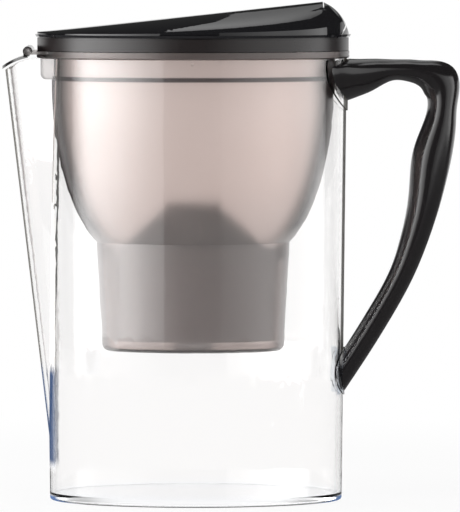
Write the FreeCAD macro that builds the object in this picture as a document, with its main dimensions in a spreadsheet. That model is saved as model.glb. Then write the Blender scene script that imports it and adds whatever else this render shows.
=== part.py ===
import FreeCAD, Part
import math
import os
import re

import Sketcher

Vector = FreeCAD.Vector
doc = FreeCAD.newDocument("water_filter_pitcher")
sheet = doc.addObject("Spreadsheet::Sheet", "Dimensions")
fits = doc.addObject("App::VarSet", "Fits")
sheet_names = []
fit_names = []
nodes = []


# Helpers for the sheet and for bound sizes
def dimensions(values):
    for name, value in values.items():
        sheet_names.append(name)
        row = len(sheet_names)
        sheet.set("A%d" % row, name)
        sheet.set("B%d" % row, str(value))
        sheet.setAlias("B%d" % row, name)
    doc.recompute()


def bound_words(expression):
    def owner(match):
        word = match.group(0)
        if word in sheet_names:
            return "Dimensions." + word
        if word in fit_names:
            return "Fits." + word
        return word
    return re.sub(r"[a-z][a-z0-9_]*", owner, str(expression))


def derive(**formulas):
    for name, formula in formulas.items():
        fits.addProperty("App::PropertyFloat", name)
        fits.setExpression(name, bound_words(formula))
        fit_names.append(name)
    doc.recompute()


def size(name):
    if name in sheet_names:
        return float(sheet.get(name))
    return float(getattr(fits, name))


def bind(piece, **sizes):
    for name, expression in sizes.items():
        piece.setExpression(name, bound_words(expression))
    return piece


def place(piece, x="0", y="0", z="0", turn=None):
    if turn:
        piece.Placement = FreeCAD.Placement(Vector(), FreeCAD.Rotation(Vector(*turn[0]), turn[1]))
    for axis, expression in (("x", x), ("y", y), ("z", z)):
        if expression != "0":
            piece.setExpression("Placement.Base." + axis, bound_words(expression))
    return piece


# Helpers for solids
ALONG_X = ((1, 1, 1), 120)
ALONG_Y = ((1, 0, 0), -90)
SEAM_AT_REAR = None
SEAM_AT_FRONT = ((0, 0, 1), 180)


def ellipse(name, length, width, level, seam):
    curve = doc.addObject("Part::Ellipse", name)
    bind(curve, MajorRadius="(%s) / 2" % length, MinorRadius="(%s) / 2" % width)
    return place(curve, z=level, turn=seam)


def oval(name, length, width, bottom, top, seam=SEAM_AT_REAR):
    solid = doc.addObject("Part::Extrusion", name)
    solid.Base = ellipse(name + "Outline", length, width, bottom, seam)
    solid.DirMode = "Custom"
    solid.Dir = Vector(0, 0, 1)
    solid.Solid = True
    return bind(solid, LengthFwd="(%s) - (%s)" % (top, bottom))


def tapered(name, *sections, smooth=False, seam=SEAM_AT_REAR):
    solid = doc.addObject("Part::Loft", name)
    solid.Sections = [ellipse("%sSection%d" % (name, index), *one, seam)
                      for index, one in enumerate(sections)]
    solid.Solid = True
    solid.Ruled = not smooth
    return solid


def block(name, length, width, height, x, y, z):
    solid = bind(doc.addObject("Part::Box", name), Length=length, Width=width, Height=height)
    return place(solid, x, y, z)


def rod(name, diameter, length, x, y, z, turn=None):
    solid = bind(doc.addObject("Part::Cylinder", name), Radius="(%s) / 2" % diameter, Height=length)
    return place(solid, x, y, z, turn)


def join(name, *pieces):
    solid = doc.addObject("Part::MultiFuse", name)
    solid.Shapes = list(pieces)
    return solid


def overlap(name, *pieces):
    solid = doc.addObject("Part::MultiCommon", name)
    solid.Shapes = list(pieces)
    return solid


def cut(name, base, *tools):
    solid = doc.addObject("Part::Cut", name)
    solid.Base = base
    solid.Tool = tools[0] if len(tools) == 1 else join(name + "Tools", *tools)
    return solid


def rounded(name, base, radius, picked):
    doc.recompute()
    solid = doc.addObject("Part::Fillet", name)
    solid.Base = base
    whole = base.Shape.BoundBox
    edges = [index + 1 for index, edge in enumerate(base.Shape.Edges) if picked(edge.BoundBox, whole)]
    solid.Edges = [(index, size(radius), size(radius)) for index in edges]
    return solid


def lowest_ring(edge, whole):
    return edge.ZMax - whole.ZMin < 1e-4


def low_front(edge, whole):
    return edge.ZMax - whole.ZMin < 1e-4 and edge.XMax - whole.XMin < 1e-4


def upright(edge, whole):
    return whole.ZLength - edge.ZLength < 1e-4


def coded(name, shape):
    solid = doc.addObject("Part::Feature", name)
    solid.Shape = shape
    return solid


def node(label, solid, x=None):
    solid.Label = label
    if x:
        place(solid, x=x)
    nodes.append(solid)


# Jug: a tall oval with a little draft, open at the top
jug_sizes = {
    "jug_height": 232.0, "jug_base_length": 153.4, "jug_base_width": 110.0, "jug_rim_length": 158.6,
    "jug_rim_width": 114.0, "jug_wall": 2.5, "jug_floor": 4.0, "jug_foot_round": 1.5}
dimensions(jug_sizes)

# Spout: a broad rounded beak that runs out near the foot, with a brow that drops to its tip
spout_sizes = {
    "spout_reach": 21.3, "spout_root_inset": 13.0, "spout_width": 50.0, "spout_nose_radius": 18.0,
    "spout_foot_height": 28.0, "spout_foot_width": 20.0, "spout_foot_radius": 8.0, "spout_foot_sink": 0.6,
    "spout_brow_radius": 32.0, "spout_brow_start": 1.7}
dimensions(spout_sizes)

# Handle: stations along the bow, each with its reach from the rim, its height as a share of the way from
# the foot to the rim, its heading, its depth outward and inward and its half width
handle_sizes = {
    "handle_foot_height": 67.7, "handle_crease_depth": 0.62, "handle_crease_width": 0.8,
    "root_reach": -9.0, "root_rise": 0.973, "root_heading": 0.0,
    "root_outer": 3.8, "root_inner": 21.0, "root_half": 27.5,
    "arm_reach": 12.5, "arm_rise": 0.967, "arm_heading": 2.0,
    "arm_outer": 5.1, "arm_inner": 12.0, "arm_half": 16.5,
    "neck_reach": 26.0, "neck_rise": 0.966, "neck_heading": 0.0,
    "neck_outer": 4.9, "neck_inner": 6.0, "neck_half": 13.0,
    "turn_reach": 37.5, "turn_rise": 0.962, "turn_heading": -10.0,
    "turn_outer": 5.2, "turn_inner": 7.6, "turn_half": 12.2,
    "corner_reach": 49.2, "corner_rise": 0.929, "corner_heading": -48.0,
    "corner_outer": 9.5, "corner_inner": 11.2, "corner_half": 12.2,
    "grip_reach": 51.2, "grip_rise": 0.85, "grip_heading": -93.0,
    "grip_outer": 6.8, "grip_inner": 8.8, "grip_half": 12.0,
    "palm_reach": 45.6, "palm_rise": 0.687, "palm_heading": -102.0,
    "palm_outer": 9.5, "palm_inner": 11.2, "palm_half": 12.4,
    "waist_reach": 39.0, "waist_rise": 0.4825, "waist_heading": -107.0,
    "waist_outer": 7.3, "waist_inner": 8.5, "waist_half": 11.6,
    "tail_reach": 24.5, "tail_rise": 0.262, "tail_heading": -119.0,
    "tail_outer": 6.6, "tail_inner": 6.0, "tail_half": 10.6,
    "foot_reach": -2.0, "foot_rise": 0.0, "foot_heading": -124.0,
    "foot_outer": 6.6, "foot_inner": 6.0, "foot_half": 11.0,
    "end_reach": -12.0, "end_rise": -0.09, "end_heading": -124.0,
    "end_outer": 6.8, "end_inner": 6.0, "end_half": 11.4}
dimensions(handle_sizes)
BOW_STEPS = 3
STATIONS = ("root", "arm", "neck", "turn", "corner", "grip", "palm", "waist", "tail", "foot", "end")

# Clear pads on the wall that the handle ends seat on, each with a lug that enters the handle
pad_sizes = {
    "pad_thickness": 0.8, "pad_margin": 2.0, "pad_drop": 0.8, "foot_pad_width": 38.0,
    "foot_pad_height": 25.0, "handle_fit": 0.15, "arm_lug_width": 18.0, "arm_lug_height": 9.0,
    "arm_lug_reach": 8.0, "arm_lug_drop": 5.5, "foot_lug_width": 10.0, "foot_lug_height": 8.0,
    "foot_lug_reach": 3.0, "foot_lug_rise": 0.5}
dimensions(pad_sizes)

# Funnel: flange on the jug rim, collar inside it, hopper and cartridge seat
funnel_sizes = {
    "funnel_shift": 1.4, "funnel_wall": 1.6, "rim_gap": 0.2, "flange_overhang": 2.7,
    "flange_thickness": 3.7, "flange_round": 0.8, "flange_groove": 0.5, "collar_gap": 1.0,
    "collar_depth": 11.0, "collar_step": 0.4, "hopper_depth": 85.7, "hopper_overrun": 7.45,
    "seat_length": 101.0, "seat_width": 66.0, "seat_foot_length": 94.8, "seat_foot_width": 60.0,
    "seat_depth": 57.0, "seat_floor": 1.8, "seat_ledge": 1.2, "seat_band": 8.5, "seat_corner": 3.5,
    "drain_bore": 24.0, "drain_hole": 5.0, "drain_spacing": 12.0, "guide_rib_span": 76.0,
    "guide_rib_thickness": 1.6, "guide_rib_gap": 0.5, "key_width": 26.0, "key_reach": 5.0,
    "key_root": 8.0, "key_round": 3.0, "nub_size": 2.6, "nub_drop": 2.5, "nub_sink": 0.7,
    "nub_pad_width": 11.0, "nub_pad_height": 5.2, "nub_pad_raise": 0.25}
dimensions(funnel_sizes)

# Hinge of the spout flap: two arms on the flange and a pin between them
spout_hinge_sizes = {
    "hinge_reach": 8.3, "hinge_rise": 4.0, "hinge_pin": 2.5, "hinge_arm_span": 42.0,
    "hinge_arm_width": 1.8, "hinge_arm_length": 17.0, "hinge_arm_height": 1.6, "hinge_boss": 4.2,
    "clip_size": 5.0, "clip_neck": 2.25, "clip_neck_drop": 3.1, "clip_play": 0.06, "clip_side_play": 0.4,
    "clip_slot": 1.9, "spout_flap_thickness": 1.4, "spout_flap_gap": 1.2, "spout_flap_overhang": 0.9}
dimensions(spout_hinge_sizes)

# Lid ring: skirt, rim, spigot and tray
lid_ring_sizes = {
    "lid_gap": 0.3, "lid_inset": 0.3, "skirt_height": 6.6, "skirt_wall": 2.0, "shadow_gap": 0.6,
    "shadow_depth": 1.2, "spigot_gap": 0.5, "spigot_wall": 1.8, "spigot_depth": 3.5, "lid_rim_depth": 4.2,
    "tray_thickness": 2.0, "tray_drop": 3.4, "fill_length": 22.0, "fill_width": 30.0, "fill_setback": 4.5,
    "tab_width": 13.6, "tab_raise": 0.3}
dimensions(lid_ring_sizes)

# Lid cover: a lip and a crowned wedge with its crest near the rear
lid_cover_sizes = {
    "cover_overhang": 1.3, "cover_lip": 1.3, "cover_lip_lean": 0.6, "cover_inset": 1.2,
    "cover_wall": 2.4, "cover_front_rise": 1.0, "cover_crest": 16.9, "cover_crest_setback": 15.0,
    "cover_rear_radius": 21.5, "cover_rear_plan": 110.0, "cover_crown_margin": 0.6}
dimensions(lid_cover_sizes)

# Fill flap at the rear of the cover, on a pin between two ears of the lid ring
fill_flap_sizes = {
    "fill_axis_setback": 15.7, "fill_axis_drop": 7.6, "fill_flap_radius": 13.3, "fill_flap_width": 41.0,
    "fill_flap_gap": 0.5, "fill_notch": 0.7, "fill_pin": 2.0, "fill_pin_head": 3.4,
    "fill_pin_head_length": 1.0, "fill_play": 0.05, "ear_size": 4.2, "ear_lean": 3.1,
    "ear_thickness": 2.4, "ear_span": 32.0, "knuckle_thickness": 2.6, "knuckle_gap": 0.5,
    "knuckle_height": 2.6, "spring_width": 9.0, "spring_thickness": 0.4, "spring_base": 9.0,
    "spring_reach": 28.0, "spring_gap": 0.3}
dimensions(fill_flap_sizes)

# Cartridge: cup, cap, seal, granulate and two fleeces
cartridge_sizes = {
    "cartridge_play": 0.6, "cup_gap": 2.2, "cup_wall": 1.5, "cup_floor": 1.6, "cup_clear": 3.7,
    "cup_flange": 1.5, "seal_height": 2.0, "seal_play": 0.3, "stub_bore_gap": 2.2, "stub_clear": 0.7,
    "outlet_slot": 2.0, "outlet_slot_length": 30.0, "outlet_slot_pitch": 5.0, "cap_rim": 2.5,
    "cap_wall": 1.5, "cap_headroom": 3.5, "dome_end_inset": 10.0, "dome_side_inset": 7.0,
    "dome_top_length": 34.0, "dome_top_width": 23.0, "dome_height": 18.5, "inlet_slot": 1.6,
    "inlet_height": 10.0, "inlet_rise": 3.7, "grip_length": 29.0, "grip_thickness": 8.0,
    "grip_height": 4.5, "grip_corner": 2.0, "media_gap": 0.25, "fleece_thickness": 1.0}
dimensions(cartridge_sizes)

# Levels and spans that pieces share
derive(
    flange_under="jug_height + rim_gap",
    flange_length="jug_rim_length + 2 * flange_overhang",
    flange_width="jug_rim_width + 2 * flange_overhang",
    rim_bore_length="jug_rim_length - 2 * jug_wall",
    rim_bore_width="jug_rim_width - 2 * jug_wall",
    spout_tip="jug_rim_length / 2 + spout_reach",
    spout_root="jug_rim_length / 2 - spout_root_inset",
    spout_half="spout_width / 2",
    jug_draft="(jug_rim_length - jug_base_length) / 2 / jug_height",
    spout_brow_x="jug_rim_length / 2 + spout_brow_start",
    hinge_x="jug_rim_length / 2 + hinge_reach",
    hinge_level="jug_height + hinge_rise")
derive(
    flange_top="flange_under + flange_thickness",
    collar_under="flange_under - collar_depth",
    collar_length="rim_bore_length - 2 * collar_gap - 2 * funnel_shift",
    collar_width="rim_bore_width - 2 * collar_gap",
    spout_foot_tip="jug_base_length / 2 + jug_draft * spout_foot_height - spout_foot_sink",
    spout_foot_half="spout_foot_width / 2",
    spout_brow_level="jug_height - spout_brow_radius")
derive(
    hopper_length="collar_length - 2 * collar_step",
    hopper_width="collar_width - 2 * collar_step",
    collar_bore_length="collar_length - 2 * funnel_wall",
    collar_bore_width="collar_width - 2 * funnel_wall",
    seat_top="collar_under - hopper_depth",
    hopper_bend="hopper_depth / (hopper_depth + hopper_overrun)",
    skirt_under="flange_top + lid_gap",
    lid_length="flange_length - 2 * lid_inset",
    lid_width="flange_width - 2 * lid_inset")
derive(
    seat_under="seat_top - seat_depth",
    ledge_level="seat_top - seat_band",
    band_draft_length="(seat_length - seat_foot_length) * seat_band / seat_depth",
    band_draft_width="(seat_width - seat_foot_width) * seat_band / seat_depth",
    skirt_top="skirt_under + skirt_height")
derive(
    seat_floor_top="seat_under + seat_floor",
    band_length="seat_length - band_draft_length - 2 * funnel_wall",
    band_width="seat_width - band_draft_width - 2 * funnel_wall",
    cover_under="skirt_top + shadow_gap",
    cover_length="lid_length + 2 * cover_overhang",
    cover_width="lid_width + 2 * cover_overhang",
    spigot_length="collar_bore_length - 2 * spigot_gap",
    spigot_width="collar_bore_width - 2 * spigot_gap")
derive(
    cover_lip_top="cover_under + cover_lip",
    tray_top="cover_under - tray_drop",
    tray_length="spigot_length - 2 * spigot_wall",
    tray_width="spigot_width - 2 * spigot_wall",
    well_length="band_length - 2 * seat_ledge",
    well_width="band_width - 2 * seat_ledge",
    well_foot_length="seat_foot_length - 2 * funnel_wall - 2 * seat_ledge",
    well_foot_width="seat_foot_width - 2 * funnel_wall - 2 * seat_ledge",
    seal_top="ledge_level + seal_height")
derive(
    fill_axis_x="cover_length / 2 - fill_axis_setback",
    fill_axis_level="cover_lip_top + cover_crest - fill_axis_drop",
    fill_sweep="fill_flap_radius + fill_flap_gap",
    cup_top="seal_top + cup_flange",
    cup_length="well_length - 2 * cup_gap",
    cup_width="well_width - 2 * cup_gap",
    cup_foot_length="well_foot_length - 2 * cup_gap",
    cup_foot_width="well_foot_width - 2 * cup_gap",
    cup_under="seat_floor_top + cup_clear",
    cup_flange_length="band_length - 2 * cartridge_play",
    cup_flange_width="band_width - 2 * cartridge_play")
derive(
    guide_rib_share="(guide_rib_span - guide_rib_thickness) / cup_length",
    cup_bed="cup_under + cup_floor",
    cap_top="cup_top + cap_rim",
    dome_length="cup_flange_length - 2 * dome_end_inset",
    dome_width="cup_flange_width - 2 * dome_side_inset",
    dome_top="cup_top + cap_rim + dome_height")
derive(guide_rib_start="cup_width / 2 * sqrt(1 - guide_rib_share ^ 2) + guide_rib_gap")


# Outline of the beak: two straight sides tangent to a round nose
def beak(name, tip, root, half, nose, level, grow="0"):
    outline = doc.addObject("Sketcher::SketchObject", name)
    radius = size(nose)
    middle = Vector(radius - size(tip), 0, 0)
    corner = Vector(-size(root), size(half), 0)
    away = corner - middle
    lean = math.atan2(away.y, away.x) + math.acos(radius / away.Length)
    touch = middle + Vector(math.cos(lean), math.sin(lean), 0) * radius
    mirror_corner = Vector(corner.x, -corner.y, 0)
    mirror_touch = Vector(touch.x, -touch.y, 0)
    nose_circle = Part.Circle(middle, Vector(0, 0, 1), radius)
    outline.addGeometry(Part.LineSegment(corner, touch))
    outline.addGeometry(Part.ArcOfCircle(nose_circle, lean, 2 * math.pi - lean))
    outline.addGeometry(Part.LineSegment(mirror_touch, mirror_corner))
    outline.addGeometry(Part.LineSegment(mirror_corner, corner))
    outline.addConstraint(Sketcher.Constraint("Tangent", 0, 2, 1, 1))
    outline.addConstraint(Sketcher.Constraint("Tangent", 1, 2, 2, 1))
    outline.addConstraint(Sketcher.Constraint("Coincident", 2, 2, 3, 1))
    outline.addConstraint(Sketcher.Constraint("Coincident", 3, 2, 0, 1))
    outline.addConstraint(Sketcher.Constraint("PointOnObject", 1, 3, -1))
    outline.addConstraint(Sketcher.Constraint("Symmetric", 0, 1, 2, 2, -1))
    sizes = (
        ("nose", Sketcher.Constraint("Radius", 1, radius), "%s + %s" % (nose, grow)),
        ("middle", Sketcher.Constraint("DistanceX", 1, 3, -1, 1, -middle.x), "%s - %s" % (tip, nose)),
        ("root", Sketcher.Constraint("DistanceX", 0, 1, -1, 1, -corner.x), root),
        ("half", Sketcher.Constraint("DistanceY", -1, 1, 0, 1, corner.y), "%s + %s" % (half, grow)))
    for label, constraint, expression in sizes:
        outline.renameConstraint(outline.addConstraint(constraint), label)
        outline.setExpression("Constraints." + label, bound_words(expression))
    return place(outline, z=level)


def beak_solid(name, grow):
    solid = doc.addObject("Part::Loft", name)
    solid.Sections = [
        beak(name + "Foot", "spout_foot_tip", "spout_root", "spout_foot_half", "spout_foot_radius",
             "spout_foot_height", grow),
        beak(name + "Top", "spout_tip", "spout_root", "spout_half", "spout_nose_radius", "jug_height", grow)]
    solid.Solid = True
    solid.Ruled = True
    return solid


# Jug
def jug_oval(name, grow, bottom, top):
    share = "(%s) / jug_height" % top
    length = "jug_base_length + (jug_rim_length - jug_base_length) * %s + 2 * (%s)" % (share, grow)
    width = "jug_base_width + (jug_rim_width - jug_base_width) * %s + 2 * (%s)" % (share, grow)
    foot_length = "jug_base_length + 2 * jug_draft * (%s) + 2 * (%s)" % (bottom, grow)
    foot_share = "(%s) / jug_height" % bottom
    foot_width = "jug_base_width + (jug_rim_width - jug_base_width) * %s + 2 * (%s)" % (foot_share, grow)
    return tapered(name, (foot_length, foot_width, bottom), (length, width, top), seam=SEAM_AT_FRONT)


def wall_patch(name, width, height, level):
    outline = bind(doc.addObject("Part::Ellipse", name + "Outline"),
                   MajorRadius="(%s) / 2" % width, MinorRadius="(%s) / 2" % height)
    place(outline, z=level, turn=ALONG_X)
    prism = doc.addObject("Part::Extrusion", name + "Prism")
    prism.Base = outline
    prism.DirMode = "Custom"
    prism.Dir = Vector(1, 0, 0)
    prism.Solid = True
    bind(prism, LengthFwd="jug_rim_length")
    wall = jug_oval(name + "Wall", "pad_thickness", "jug_floor", "jug_height - pad_drop")
    return overlap(name, wall, prism)


def lug(name, width, height, reach, level, play="0"):
    start = "jug_base_length / 2 - jug_wall / 2"
    return block(name, "jug_rim_length / 2 + pad_thickness + %s + %s - (%s)" % (reach, play, start),
                 "%s + 2 * %s" % (width, play), "%s + 2 * %s" % (height, play),
                 start, "-%s / 2 - %s" % (width, play), "%s - %s / 2 - %s" % (level, height, play))


ARM_LUG_LEVEL = "handle_foot_height + root_rise * (jug_height - handle_foot_height) - arm_lug_drop"
FOOT_LUG_LEVEL = "handle_foot_height + foot_lug_height * foot_lug_rise"
ROOT_LEVEL = "handle_foot_height + root_rise * (jug_height - handle_foot_height)"


def make_jug():
    body = rounded("JugRoundedBody", jug_oval("JugBody", "0", "0", "jug_height"),
                   "jug_foot_round", lowest_ring)
    outside = join(
        "JugOutside", body, beak_solid("SpoutOutside", "0"),
        wall_patch("ArmPad", "2 * (root_half + pad_margin)", "2 * (root_inner + pad_margin)", ROOT_LEVEL),
        wall_patch("FootPad", "foot_pad_width", "foot_pad_height", "handle_foot_height"),
        lug("ArmLug", "arm_lug_width", "arm_lug_height", "arm_lug_reach", ARM_LUG_LEVEL),
        lug("FootLug", "foot_lug_width", "foot_lug_height", "foot_lug_reach", FOOT_LUG_LEVEL))
    inside = join("JugInside", jug_oval("JugBore", "-jug_wall", "jug_floor", "jug_height"),
                  beak_solid("SpoutInside", "-jug_wall"))
    brow_round = rod("BrowRound", "2 * spout_brow_radius", "2 * spout_width", "-spout_brow_x", "-spout_width",
                     "spout_brow_level", ALONG_Y)
    brow_block = block("BrowBlock", "2 * spout_reach", "2 * spout_width", "2 * spout_brow_radius",
                       "-spout_brow_x - 2 * spout_reach", "-spout_width", "spout_brow_level")
    node("jug", cut("Jug", outside, inside, cut("Brow", brow_block, brow_round)))


make_jug()


# Handle: one bow through its stations, with a crease near the finger side
def bezier(*poles):
    curve = Part.BezierCurve()
    curve.setPoles(list(poles))
    return curve.toShape()


def hermite(start, end, leave, arrive, share):
    rest = 1 - share
    return (start * (rest * rest * (1 + 2 * share)) + end * (share * share * (3 - 2 * share))
            + leave * (share * rest * rest) - arrive * (share * share * rest))


def even_slopes(values, spans):
    steps = [(after - before) / span for before, after, span in zip(values, values[1:], spans)]
    inner = [0 if left * right <= 0 else 2 * left * right / (left + right)
             for left, right in zip(steps, steps[1:])]
    return steps[:1] + inner + steps[-1:]


def bow_frames():
    foot = size("handle_foot_height")
    points = [Vector(size("jug_rim_length") / 2 + size(station + "_reach"), 0,
                     foot + size(station + "_rise") * (size("jug_height") - foot)) for station in STATIONS]
    headings = [math.radians(size(station + "_heading")) for station in STATIONS]
    spans = [(after - before).Length for before, after in zip(points, points[1:])]
    girths = {part: [size(station + part) for station in STATIONS] for part in ("_outer", "_inner", "_half")}
    slopes = {part: even_slopes(values, spans) for part, values in girths.items()}
    turns = even_slopes(headings, spans)
    for index, span in enumerate(spans):
        leave = Vector(math.cos(headings[index]), 0, math.sin(headings[index])) * span
        arrive = Vector(math.cos(headings[index + 1]), 0, math.sin(headings[index + 1])) * span
        last = index == len(spans) - 1
        for step in range(BOW_STEPS + last):
            share = step / BOW_STEPS
            middle = hermite(points[index], points[index + 1], leave, arrive, share)
            heading = hermite(headings[index], headings[index + 1], turns[index] * span,
                              turns[index + 1] * span, share)
            girth = [hermite(girths[part][index], girths[part][index + 1], slopes[part][index] * span,
                             slopes[part][index + 1] * span, share) for part in ("_outer", "_inner", "_half")]
            yield middle, Vector(-math.sin(heading), 0, math.cos(heading)), girth


def handle_section(middle, outward, girth):
    quarter = 0.5523
    fullness = 0.7
    outer, inner, half = girth
    crease = inner * size("handle_crease_depth")
    crease_half = half * size("handle_crease_width")

    def at(across, out):
        return middle + Vector(0, across, 0) + outward * out

    return Part.Wire([
        bezier(at(half, 0), at(half, quarter * outer), at(quarter * half, outer), at(0, outer)),
        bezier(at(0, outer), at(-quarter * half, outer), at(-half, quarter * outer), at(-half, 0)),
        bezier(at(-half, 0), at(-half, -fullness * crease), at(-crease_half, -crease)),
        bezier(at(-crease_half, -crease), at(0, crease - 2 * inner), at(crease_half, -crease)),
        bezier(at(crease_half, -crease), at(half, -fullness * crease), at(half, 0))])


def make_handle():
    bow = Part.makeLoft([handle_section(*frame) for frame in bow_frames()], True, False)
    seat = jug_oval("HandleSeat", "pad_thickness + handle_fit", "0", "jug_height")
    pockets = [
        lug("ArmPocket", "arm_lug_width", "arm_lug_height", "arm_lug_reach", ARM_LUG_LEVEL, "handle_fit"),
        lug("FootPocket", "foot_lug_width", "foot_lug_height", "foot_lug_reach", FOOT_LUG_LEVEL,
            "handle_fit")]
    doc.recompute()
    for tool in [seat] + pockets:
        bow = bow.cut(tool.Shape)
    node("handle", coded("Handle", bow.Solids[0]))


make_handle()


# Funnel
HOPPER_STEPS = 5


def hopper(name, shrink):
    sections = []
    for step in range(HOPPER_STEPS + 1):
        share = "%d / %d" % (step, HOPPER_STEPS)
        drop = "(1 - sqrt(1 - (hopper_bend * %s) ^ 2)) / (1 - sqrt(1 - hopper_bend ^ 2))" % share
        sections.append((
            "hopper_length - (hopper_length - seat_length) * %s - 2 * (%s)" % (drop, shrink),
            "hopper_width - (hopper_width - seat_width) * %s - 2 * (%s)" % (drop, shrink),
            "collar_under - hopper_depth * %s" % share))
    return tapered(name, *sections, smooth=True)


def drain_holes():
    holes = [rod("DrainBore", "drain_bore", "3 * seat_floor", "0", "0", "seat_under - seat_floor")]
    for index, (row, column) in enumerate([(-1, -2), (-1, 2), (1, -2), (1, 2), (0, -2), (0, 2)]):
        holes.append(rod("DrainHole%d" % index, "drain_hole", "3 * seat_floor", "%d * drain_spacing" % column,
                         "%d * drain_spacing" % row, "seat_under - seat_floor"))
    return holes


def guide_ribs():
    limit = tapered("GuideRibLimit",
                    ("seat_foot_length - funnel_wall", "seat_foot_width - funnel_wall", "seat_under"),
                    ("seat_length - funnel_wall", "seat_width - funnel_wall", "seat_top"))
    ribs = []
    for index, (side, face) in enumerate([(-1, -1), (-1, 1), (1, -1), (1, 1)]):
        start = "guide_rib_start" if face > 0 else "-seat_width / 2"
        ribs.append(block("GuideRib%d" % index, "guide_rib_thickness", "seat_width / 2 - guide_rib_start",
                          "ledge_level - seat_under - seat_floor / 2",
                          "%d * guide_rib_span / 2 - guide_rib_thickness / 2" % side, start,
                          "seat_under + seat_floor / 2"))
    return overlap("GuideRibs", join("GuideRibBlocks", *ribs), limit)


def hinge_mount():
    pieces = []
    for index, side in enumerate((-1, 1)):
        inner = "hinge_arm_span / 2" if side > 0 else "-hinge_arm_span / 2 - hinge_arm_width"
        pieces.append(block("HingeArm%d" % index, "hinge_arm_length", "hinge_arm_width", "hinge_arm_height",
                            "funnel_shift - hinge_x", inner, "flange_top - hinge_arm_height"))
        pieces.append(rod("HingeBoss%d" % index, "hinge_boss", "hinge_arm_width",
                          "funnel_shift - hinge_x", inner, "hinge_level", ALONG_Y))
    pieces.append(rod("HingePin", "hinge_pin", "hinge_arm_span + hinge_arm_width", "funnel_shift - hinge_x",
                      "-(hinge_arm_span + hinge_arm_width) / 2", "hinge_level", ALONG_Y))
    return pieces


def make_funnel():
    seat_outside = rounded("SeatRounded", tapered(
        "SeatOutside", ("seat_foot_length", "seat_foot_width", "seat_under"),
        ("seat_length", "seat_width", "seat_top")), "seat_corner", lowest_ring)
    groove = cut(
        "FlangeGroove",
        oval("GrooveOuter", "flange_length + 2 * flange_groove", "flange_width + 2 * flange_groove",
             "(flange_under + flange_top - flange_groove) / 2",
             "(flange_under + flange_top + flange_groove) / 2"),
        oval("GrooveInner", "flange_length - 2 * flange_groove", "flange_width - 2 * flange_groove",
             "flange_under", "flange_top"))
    disc = oval("Flange", "flange_length", "flange_width", "flange_under", "flange_top")
    disc = rounded("FlangeEdge", disc, "flange_round", lowest_ring)
    flange = cut("GroovedFlange", disc, groove)
    key = rounded("KeyRounded", block("Key", "key_root + key_reach", "key_width", "collar_depth",
                                      "-collar_length / 2 - key_reach", "-key_width / 2", "collar_under"),
                  "key_round", low_front)
    nubs = [place(bind(doc.addObject("Part::Sphere", "Nub%d" % index), Radius="nub_size / 2"), "0",
                  "%d * (collar_width / 2 - nub_sink)" % side, "flange_under - nub_drop")
            for index, side in enumerate((-1, 1))]
    pads = overlap("NubPads", oval("NubPadOval", "collar_length + 2 * nub_pad_raise",
                                   "collar_width + 2 * nub_pad_raise", "collar_under", "flange_under"),
                   block("NubPadBlock", "nub_pad_width", "2 * collar_width", "nub_pad_height",
                         "-nub_pad_width / 2", "-collar_width", "flange_under - nub_pad_height"))
    collar = oval("Collar", "collar_length", "collar_width", "collar_under", "flange_under")
    outside = join("FunnelOutside", flange, collar, pads, hopper("HopperOutside", "0"), seat_outside, key,
                   *nubs)
    inside = join(
        "FunnelInside", hopper("HopperInside", "funnel_wall"),
        oval("CollarThroat", "hopper_length - 2 * funnel_wall", "hopper_width - 2 * funnel_wall",
             "collar_under", "collar_under + funnel_wall"),
        oval("CollarBore", "collar_bore_length", "collar_bore_width",
             "collar_under + funnel_wall", "flange_top"),
        tapered("SeatBand", ("band_length", "band_width", "ledge_level"),
                ("seat_length - 2 * funnel_wall", "seat_width - 2 * funnel_wall", "seat_top")),
        tapered("SeatWell", ("well_foot_length", "well_foot_width", "seat_floor_top"),
                ("well_length", "well_width", "ledge_level")), *drain_holes())
    shell = cut("FunnelShell", outside, inside)
    node("funnel", join("Funnel", shell, guide_ribs(), *hinge_mount()), "-funnel_shift")


make_funnel()


# Spout flap: a thin curved leaf over the beak with a snap clip on the hinge pin
def make_spout_flap():
    under = "spout_brow_radius + spout_flap_gap"
    leaf = cut("LeafArch", rod("LeafOuter", "2 * (%s + spout_flap_thickness)" % under, "2 * spout_width",
                               "-spout_brow_x", "-spout_width", "spout_brow_level", ALONG_Y),
               rod("LeafInner", "2 * (%s)" % under, "2 * spout_width", "-spout_brow_x", "-spout_width",
                   "spout_brow_level", ALONG_Y))
    plan = doc.addObject("Part::Extrusion", "LeafPlan")
    plan.Base = beak("LeafOutline", "leaf_tip", "leaf_root", "leaf_half", "leaf_nose", "spout_brow_level")
    plan.DirMode = "Custom"
    plan.Dir = Vector(0, 0, 1)
    plan.Solid = True
    bind(plan, LengthFwd="2 * spout_brow_radius")
    clip_length = "hinge_arm_span - 2 * clip_side_play"
    clip = rod("Clip", "clip_size", clip_length, "-hinge_x", "-(%s) / 2" % clip_length, "hinge_level",
               ALONG_Y)
    bore = rod("ClipBore", "hinge_pin + 2 * clip_play", "hinge_arm_span", "-hinge_x", "-hinge_arm_span / 2",
               "hinge_level", ALONG_Y)
    slot = doc.addObject("Part::Box", "ClipSlot")
    bind(slot, Length="clip_size", Width="hinge_arm_span", Height="clip_slot")
    place(slot, "-hinge_x - clip_slot / sqrt(8)", "-hinge_arm_span / 2", "hinge_level - clip_slot / sqrt(8)",
          turn=((0, 1, 0), 45))
    neck = block("ClipNeck", "clip_neck", "2 * leaf_half", "clip_neck_drop",
                 "-hinge_x - clip_neck", "-leaf_half", "hinge_level - clip_neck_drop")
    solids = join("LeafAndClip", overlap("Leaf", leaf, plan), neck, clip)
    node("spout_flap", cut("SpoutFlap", solids, bore, slot))


derive(
    leaf_tip="spout_tip + spout_flap_overhang",
    leaf_root="hinge_x",
    leaf_half="spout_nose_radius + spout_flap_overhang",
    leaf_nose="spout_nose_radius + spout_flap_overhang")
make_spout_flap()


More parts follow.
